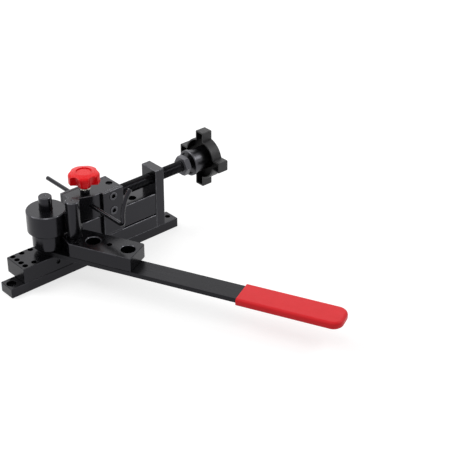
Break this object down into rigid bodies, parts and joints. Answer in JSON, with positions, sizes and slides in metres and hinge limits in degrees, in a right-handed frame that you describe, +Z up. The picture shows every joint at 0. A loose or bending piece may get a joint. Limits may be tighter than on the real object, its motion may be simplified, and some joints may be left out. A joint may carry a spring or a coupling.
{
  "type": "angle bender",
  "caption": "Bench angle bender: a lever with a die block and bending pin swings round a post-mounted former, and a screw-driven saddle with a stop rod holds the stock.",
  "frame": {"origin": "on the underside of the base, below the axis of the pivot post", "axes": "+X to the lever side, +Y along the base towards the handwheel, +Z up"},
  "size_m": [0.3949, 0.301, 0.1168],
  "materials": {
    "black_steel": "black oxide, semi-gloss",
    "screw_steel": "blackened, oiled",
    "bright_steel": "zinc plated",
    "brass": "machined",
    "black_plastic": "moulded",
    "red_plastic": "moulded",
    "red_vinyl": "dipped, satin"
  },
  "bodies": {
    "bench_frame": {"base_bar": "black_steel", "index_block": "black_steel", "index_screws": "screw_steel", "pivot_post": "black_steel", "pivot_set_screw": "screw_steel", "lower_rail": "black_steel", "guide_bar": "black_steel", "guide_screws": "screw_steel", "upright": "black_steel", "upright_screws": "screw_steel"},
    "lever": {"lever_bar": "black_steel", "lever_block": "black_steel", "lever_block_screws": "screw_steel", "lever_grip": "red_vinyl"},
    "pin": {"bending_pin": "black_steel"},
    "former": {"former_neck": "black_steel", "former_drum": "black_steel"},
    "saddle": {"saddle_block": "black_steel", "side_plate_left": "black_steel", "side_plate_right": "black_steel", "side_plate_screws": "screw_steel", "swivel_screw": "screw_steel"},
    "clamp_foot": {"clamp_pad": "brass"},
    "clamp_knob": {"clamp_stud": "bright_steel", "clamp_collar": "screw_steel", "star_knob": "red_plastic", "knob_cap": "red_plastic"},
    "rod": {"stop_rod": "black_steel"},
    "spindle": {"lead_screw": "screw_steel", "jam_nut": "black_steel", "wheel_hub": "bright_steel", "hand_wheel": "black_plastic", "wheel_screw": "screw_steel"}
  },
  "joints": [
    {"name": "lever_swing", "type": "hinge", "parent": "bench_frame", "child": "lever", "pos_m": [0, 0, 0.0338], "axis": [0, 0, 1], "range_deg": [-180, 7]},
    {"name": "pin_lift", "type": "slide", "parent": "lever", "child": "pin", "axis": [0, 0, 1], "range_m": [0, 0.03]},
    {"name": "former_spin", "type": "hinge", "parent": "bench_frame", "child": "former", "pos_m": [0, 0, 0.07], "axis": [0, 0, 1], "continuous": true},
    {"name": "saddle_slide", "type": "slide", "parent": "bench_frame", "child": "saddle", "axis": [0, 1, 0], "range_m": [-0.004, 0.045]},
    {"name": "screw_turn", "type": "hinge", "parent": "saddle", "child": "spindle", "pos_m": [0.0034, 0.09175, 0.0713], "axis": [0, 1, 0], "continuous": true},
    {"name": "clamp_lift", "type": "slide", "parent": "saddle", "child": "clamp_foot", "axis": [0, 0, 1], "range_m": [0, 0.0025]},
    {"name": "knob_turn", "type": "hinge", "parent": "clamp_foot", "child": "clamp_knob", "pos_m": [0.0034, 0.05075, 0.0925], "axis": [0, 0, 1], "continuous": true},
    {"name": "rod_slide", "type": "slide", "parent": "saddle", "child": "rod", "axis": [1, 0, 0], "range_m": [-0.04, 0.05]}
  ],
  "couplings": [
    {"joint": "screw_turn", "follows": "saddle_slide", "rad_per_m": 3141.6},
    {"joint": "knob_turn", "follows": "clamp_lift", "rad_per_m": 5026.5}
  ]
}
